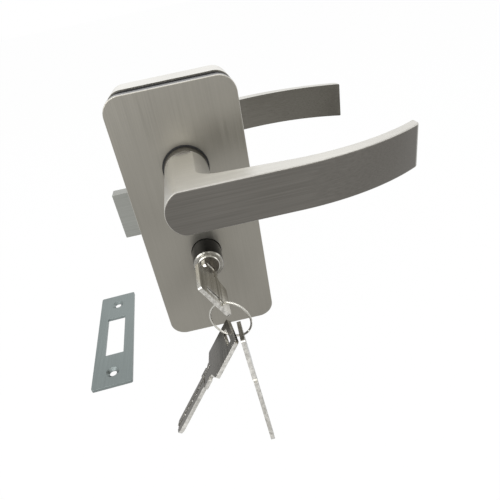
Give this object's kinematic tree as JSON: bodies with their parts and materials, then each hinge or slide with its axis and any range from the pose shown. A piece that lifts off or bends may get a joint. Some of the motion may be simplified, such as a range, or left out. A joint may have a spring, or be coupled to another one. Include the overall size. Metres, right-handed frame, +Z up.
{
  "type": "glass door lever lock",
  "caption": "Lever lock that clamps a frameless glass door, with a drawn square bolt, a keyed cylinder, keys on a ring and a strike plate.",
  "frame": {"origin": "middle of the lock on the outside face of the glass, which is the glass side of the outside gasket", "axes": "+X from the bolt towards the lever tips, +Y through the glass from outside to inside, +Z up"},
  "size_m": [0.202, 0.172, 0.185],
  "materials": {
    "stainless": "satin brushed stainless steel",
    "zinc_steel": "zinc plated steel",
    "dark_steel": "black oxide steel",
    "bolt_steel": "ground nickel plated steel",
    "strike_steel": "satin stainless steel sheet",
    "brass": "plain machined brass",
    "chrome": "polished nickel plated brass",
    "nickel": "nickel plated key brass",
    "rubber": "black rubber sheet",
    "nylon": "black nylon"
  },
  "bodies": {
    "lock_body": {"outside_cover": "stainless", "outside_base_plate": "zinc_steel", "outside_gasket": "rubber", "inside_gasket": "rubber", "inside_cover": "stainless", "lock_case": "zinc_steel", "case_lid": "zinc_steel", "lid_screws": "zinc_steel", "clamp_screws": "zinc_steel", "clamp_sleeves": "nylon", "cover_screws": "zinc_steel", "cylinder_screw": "zinc_steel", "cylinder_body": "chrome", "outside_bush": "nylon", "inside_bush": "nylon", "bolt_guide": "brass", "return_spring": "dark_steel", "strike_plate": "strike_steel"},
    "lever_set": {"outside_lever": "stainless", "inside_lever": "stainless", "spindle": "zinc_steel", "grub_screws": "dark_steel", "follower": "zinc_steel"},
    "bolt_set": {"latch_bolt": "bolt_steel", "bolt_carriage": "zinc_steel", "carriage_pin": "dark_steel"},
    "cylinder_core": {"cylinder_plug": "chrome", "wafers": "brass", "cylinder_cam": "zinc_steel", "thumbturn": "stainless", "inserted_key": "nickel"},
    "locking_plate": {"locking_slide": "zinc_steel"},
    "ring": {"key_ring": "nickel"},
    "left_key": {"left_hanging_key": "nickel"},
    "right_key": {"right_hanging_key": "nickel"}
  },
  "joints": [
    {"name": "lever_turn", "type": "hinge", "parent": "lock_body", "child": "lever_set", "pos_m": [0, 0.02, 0.0353], "axis": [0, 1, 0], "range_deg": [0, 45], "stiffness_Nm_per_rad": 0.9, "springref_deg": -45.84, "deforming": ["return_spring"]},
    {"name": "bolt_slide", "type": "slide", "parent": "lock_body", "child": "bolt_set", "axis": [1, 0, 0], "range_m": [0, 0.0134]},
    {"name": "key_turn", "type": "hinge", "parent": "lock_body", "child": "cylinder_core", "pos_m": [0, 0, -0.0197], "axis": [0, 1, 0], "range_deg": [-25, 25]},
    {"name": "slide_lift", "type": "slide", "parent": "lock_body", "child": "locking_plate", "axis": [0, 0, 1], "range_m": [-0.00542, 0.00542]},
    {"name": "ring_swing", "type": "hinge", "parent": "cylinder_core", "child": "ring", "pos_m": [0.00258, -0.0528, -0.02456], "axis": [0.9063, -0.4226, 0], "range_deg": [-30, 20]},
    {"name": "left_key_swing", "type": "hinge", "parent": "ring", "child": "left_key", "pos_m": [0.00198, -0.05252, -0.04645], "axis": [0.8461, -0.3945, -0.3584], "range_deg": [-5, 30]},
    {"name": "right_key_swing", "type": "hinge", "parent": "ring", "child": "right_key", "pos_m": [0.01002, -0.05627, -0.04622], "axis": [0.828, -0.3861, 0.4067], "range_deg": [-10, 20]}
  ],
  "couplings": [
    {"joint": "bolt_slide", "follows": "lever_turn", "m_per_rad": 0.01706},
    {"joint": "slide_lift", "follows": "key_turn", "m_per_rad": 0.01241}
  ]
}
